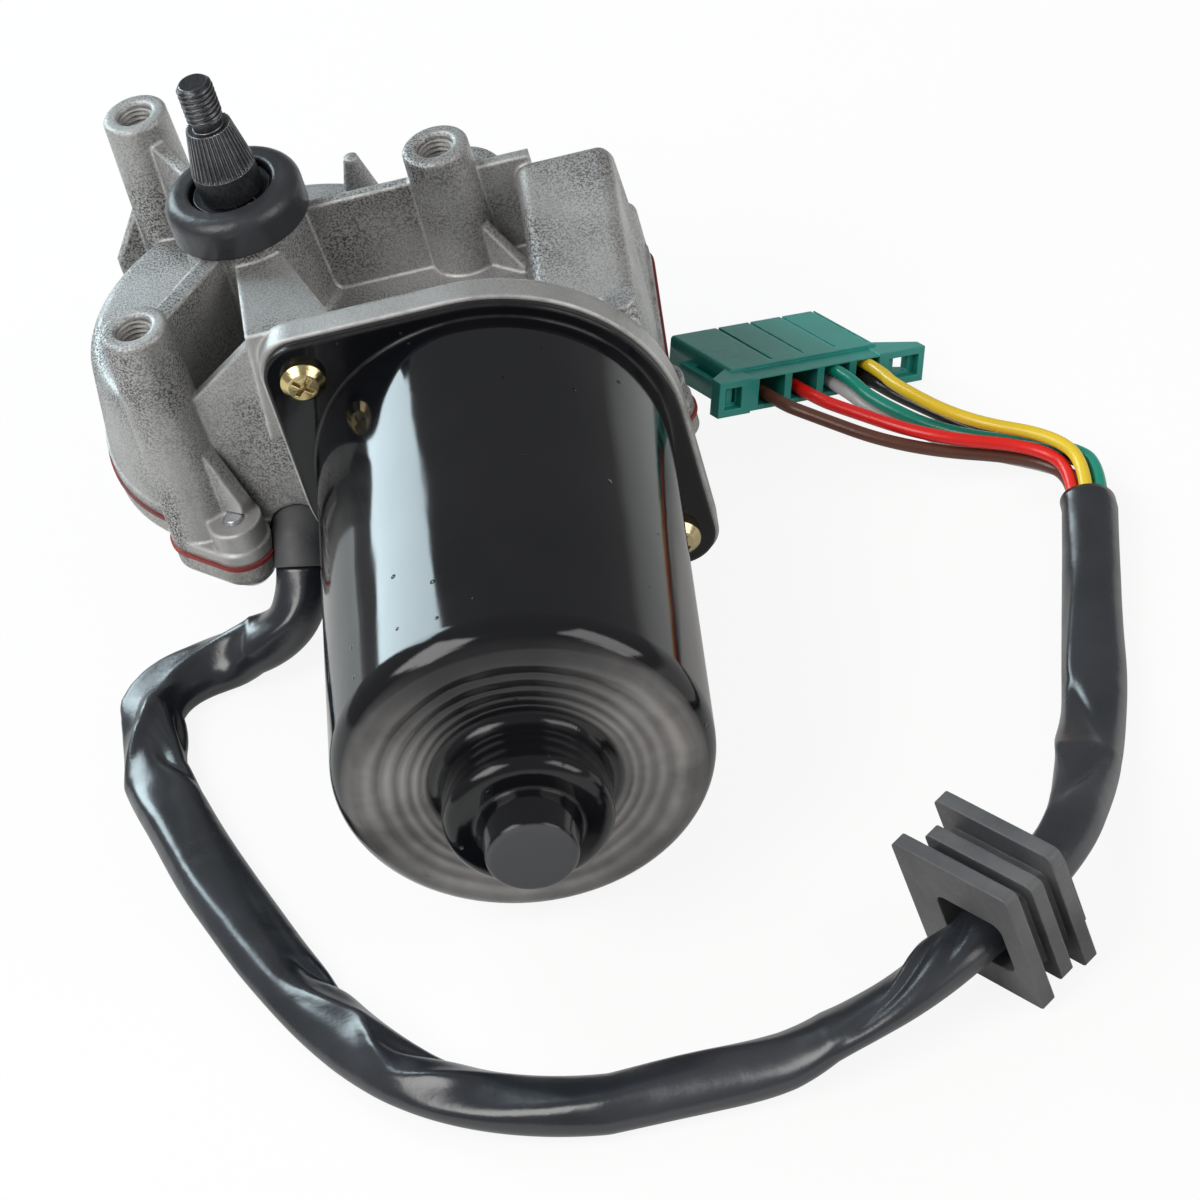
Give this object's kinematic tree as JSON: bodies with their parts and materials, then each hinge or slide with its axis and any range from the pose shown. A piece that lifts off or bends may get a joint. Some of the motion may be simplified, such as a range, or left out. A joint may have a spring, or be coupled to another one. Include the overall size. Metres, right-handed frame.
{
  "type": "wiper motor",
  "caption": "Windscreen wiper motor with worm gearbox, threaded output shaft, three mounting posts and a wired connector.",
  "frame": {"origin": "on the output shaft axis, in the plane of the three mounting post tops", "axes": "+Z along the output shaft towards its threaded end; the motor axis is parallel to Y and the can points along -Y"},
  "size_m": [0.2202, 0.2686, 0.1158],
  "materials": {
    "bearing_steel": "ground",
    "black_oxide": "black oxide, satin",
    "black_paint": "gloss",
    "black_rubber": "matte",
    "black_sleeve": "soft, wrinkled",
    "black_wire": "satin",
    "brass": "satin",
    "bronze": "sintered",
    "brown_board": "laminate",
    "brown_wire": "satin",
    "carbon": "matte",
    "cast_housing": "as cast, fine grain, brighter worn edges",
    "copper": "varnished",
    "ferrite": "matte ceramic",
    "green_plastic": "moulded",
    "green_wire": "satin",
    "lamination": "stacked sheet",
    "red_gasket": "matte",
    "red_wire": "satin",
    "white_polymer": "moulded",
    "white_wire": "satin",
    "yellow_wire": "satin",
    "yellow_zinc": "yellow zinc",
    "zinc_steel": "bright zinc"
  },
  "bodies": {
    "housing": {"bearing_retainer": "bearing_steel", "brush_holders": "brass", "brush_plate": "brown_board", "brush_springs": "bearing_steel", "cable_grommet": "black_rubber", "can_screws": "yellow_zinc", "can_seal": "black_rubber", "carbon_brushes": "carbon", "connector_housing": "green_plastic", "connector_terminals": "brass", "contact_plate": "brown_board", "contact_springs": "brass", "cover_gasket": "red_gasket", "cover_screws": "zinc_steel", "end_play_screw": "zinc_steel", "field_magnets": "ferrite", "front_bearing": "bearing_steel", "gear_cover": "cast_housing", "gear_housing": "cast_housing", "harness_sleeve": "black_sleeve", "lock_nut": "zinc_steel", "motor_can": "black_paint", "output_bush_lower": "bronze", "output_bush_upper": "bronze", "panel_grommet": "black_rubber", "rear_bearing": "bearing_steel", "shaft_cap": "black_rubber", "shaft_seal": "black_rubber", "tail_bush": "bronze", "thrust_ball": "bearing_steel", "thrust_washer": "bronze", "wire_black": "black_wire", "wire_brown": "brown_wire", "wire_green": "green_wire", "wire_red": "red_wire", "wire_white": "white_wire", "wire_yellow": "yellow_wire"},
    "armature": {"armature_shaft": "bearing_steel", "worm": "bearing_steel", "armature_core": "lamination", "armature_windings": "copper", "commutator": "copper"},
    "output": {"output_shaft": "black_oxide", "shaft_washer": "bearing_steel", "retaining_ring": "bearing_steel", "worm_wheel": "white_polymer", "wheel_hub": "bearing_steel", "park_disc": "brass"}
  },
  "joints": [
    {"name": "armature_spin", "type": "hinge", "parent": "housing", "child": "armature", "pos_m": [0.044, 0, -0.044], "axis": [0, 1, 0], "continuous": true},
    {"name": "output_spin", "type": "hinge", "parent": "housing", "child": "output", "pos_m": [0, 0, 0], "axis": [0, 0, 1], "continuous": true}
  ],
  "couplings": [
    {"joint": "output_spin", "follows": "armature_spin", "ratio": -0.02}
  ]
}
